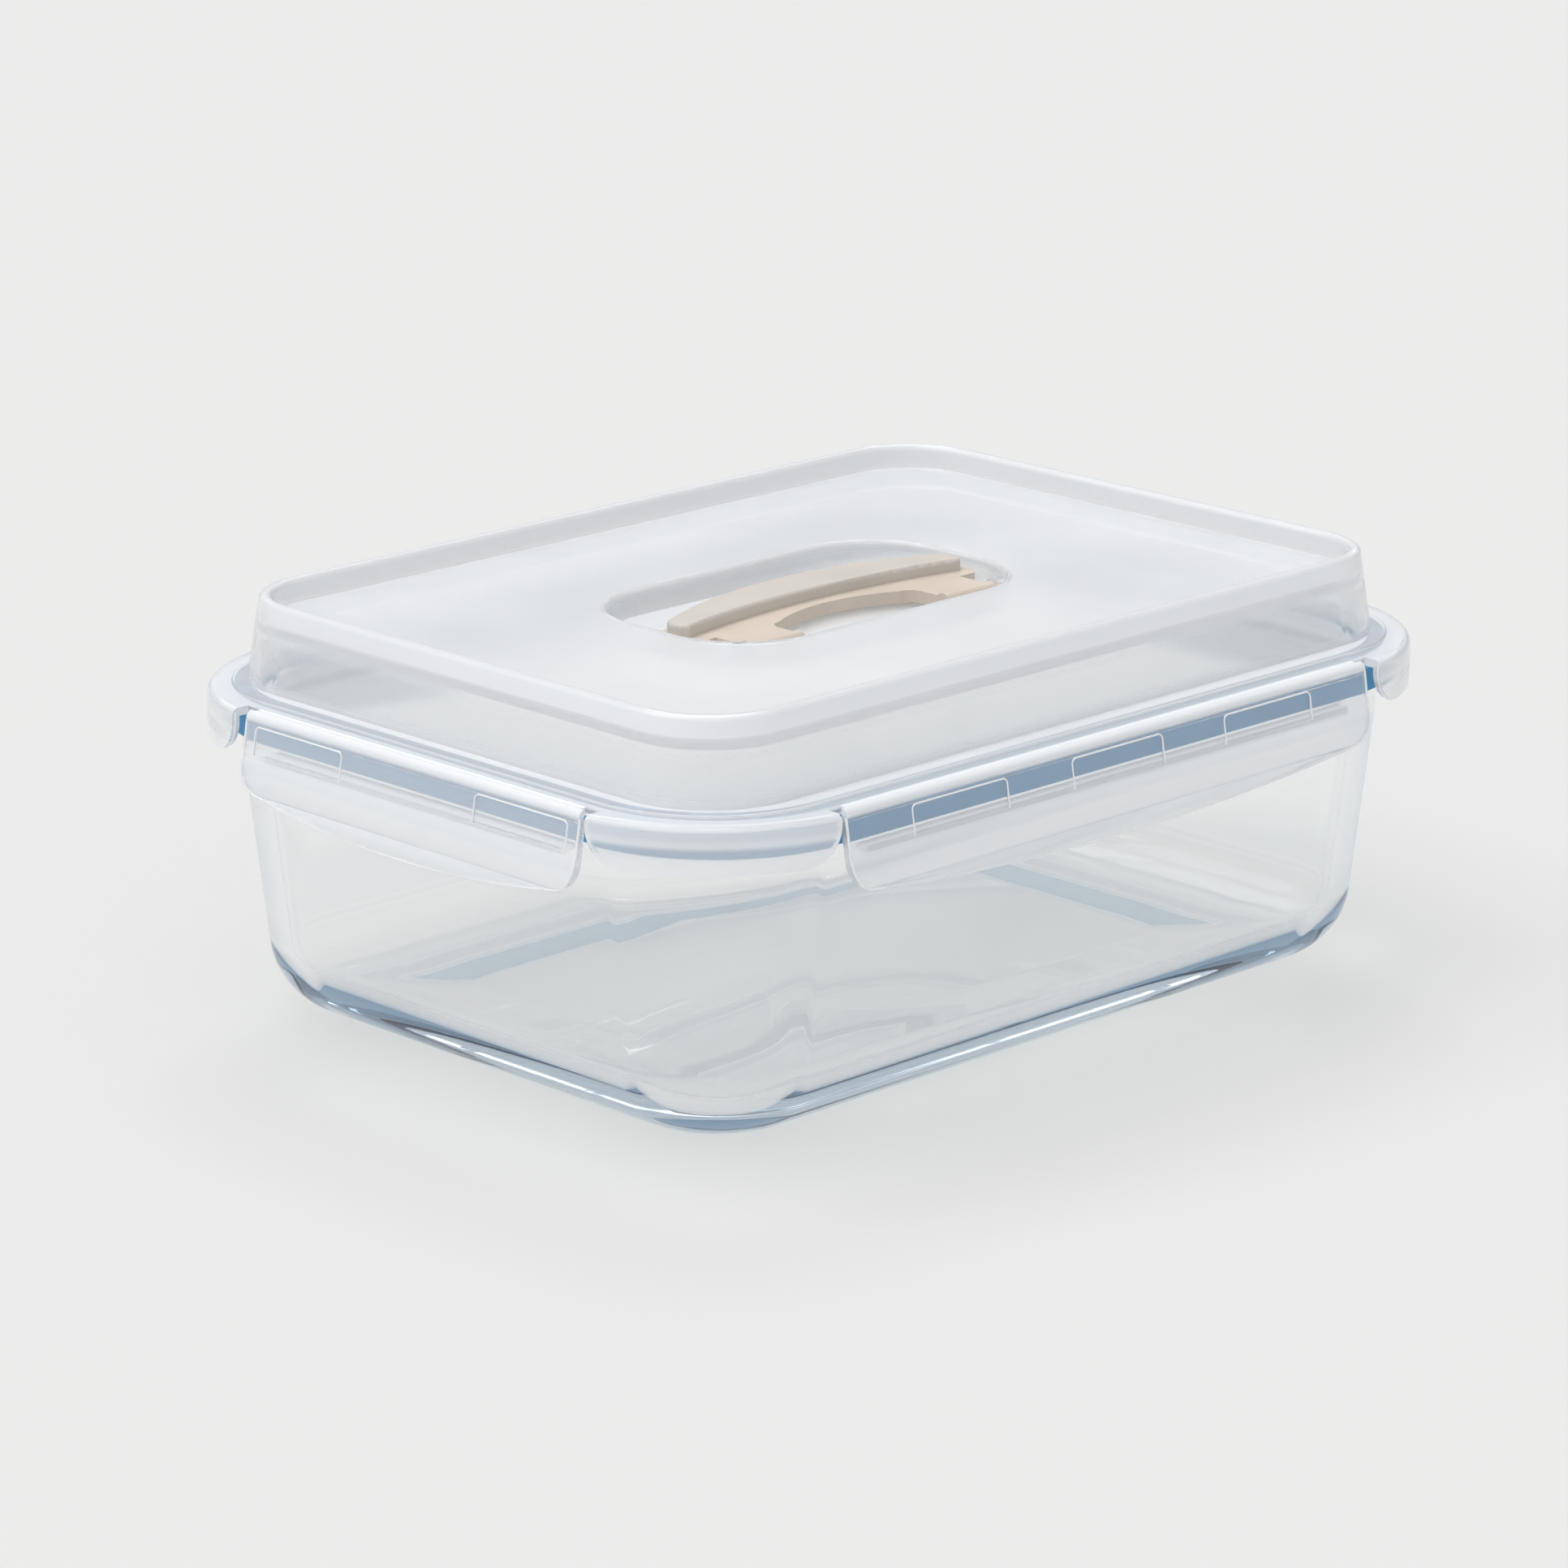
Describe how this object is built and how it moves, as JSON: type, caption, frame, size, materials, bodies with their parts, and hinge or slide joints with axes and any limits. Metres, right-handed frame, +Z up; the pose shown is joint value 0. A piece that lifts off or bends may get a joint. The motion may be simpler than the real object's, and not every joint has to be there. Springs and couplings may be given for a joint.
{
  "type": "snap lid food container",
  "caption": "Rectangular clear glass food dish with a domed translucent snap lid, hinged side flaps, a blue seal and a folding handle in the lid.",
  "frame": {"origin": "centre of the footprint, on the surface that the dish stands on", "axes": "+Z up, X along the long side, Y across; the handle folds down towards +Y"},
  "size_m": [0.2118, 0.1598, 0.081],
  "materials": {
    "glass": "clear pressed glass, polished",
    "lid_plastic": "translucent frosted polypropylene, soft gloss",
    "flap_plastic": "clearer polypropylene, soft gloss",
    "seal_silicone": "steel blue silicone, satin",
    "handle_plastic": "warm beige plastic, satin",
    "grip_plastic": "light beige soft touch plastic",
    "pin_steel": "drawn steel pin"
  },
  "bodies": {
    "dish": {"glass_dish": "glass"},
    "lid": {"lid_shell": "lid_plastic", "lid_seal": "seal_silicone", "hinge_web_front": "lid_plastic", "hinge_web_back": "lid_plastic", "hinge_web_left": "lid_plastic", "hinge_web_right": "lid_plastic", "handle_pin_left": "pin_steel", "handle_pin_right": "pin_steel"},
    "flap_front": {"snap_flap_front": "flap_plastic"},
    "flap_back": {"snap_flap_back": "flap_plastic"},
    "flap_left": {"snap_flap_left": "flap_plastic"},
    "flap_right": {"snap_flap_right": "flap_plastic"},
    "handle": {"handle_bail": "handle_plastic", "handle_grip_pad": "grip_plastic"}
  },
  "joints": [
    {"name": "lid_lift", "type": "slide", "parent": "dish", "child": "lid", "axis": [0, 0, 1], "range_m": [0, 0.1]},
    {"name": "front_flap_hinge", "type": "hinge", "parent": "lid", "child": "flap_front", "pos_m": [0, -0.0751, 0.064], "axis": [-1, 0, 0], "range_deg": [0, 120]},
    {"name": "back_flap_hinge", "type": "hinge", "parent": "lid", "child": "flap_back", "pos_m": [0, 0.0751, 0.064], "axis": [1, 0, 0], "range_deg": [0, 120]},
    {"name": "left_flap_hinge", "type": "hinge", "parent": "lid", "child": "flap_left", "pos_m": [-0.1011, 0, 0.064], "axis": [0, 1, 0], "range_deg": [0, 120]},
    {"name": "right_flap_hinge", "type": "hinge", "parent": "lid", "child": "flap_right", "pos_m": [0.1011, 0, 0.064], "axis": [0, -1, 0], "range_deg": [0, 120]},
    {"name": "handle_fold", "type": "hinge", "parent": "lid", "child": "handle", "pos_m": [0, -0.0145, 0.0734], "axis": [1, 0, 0], "range_deg": [0, 90]}
  ]
}
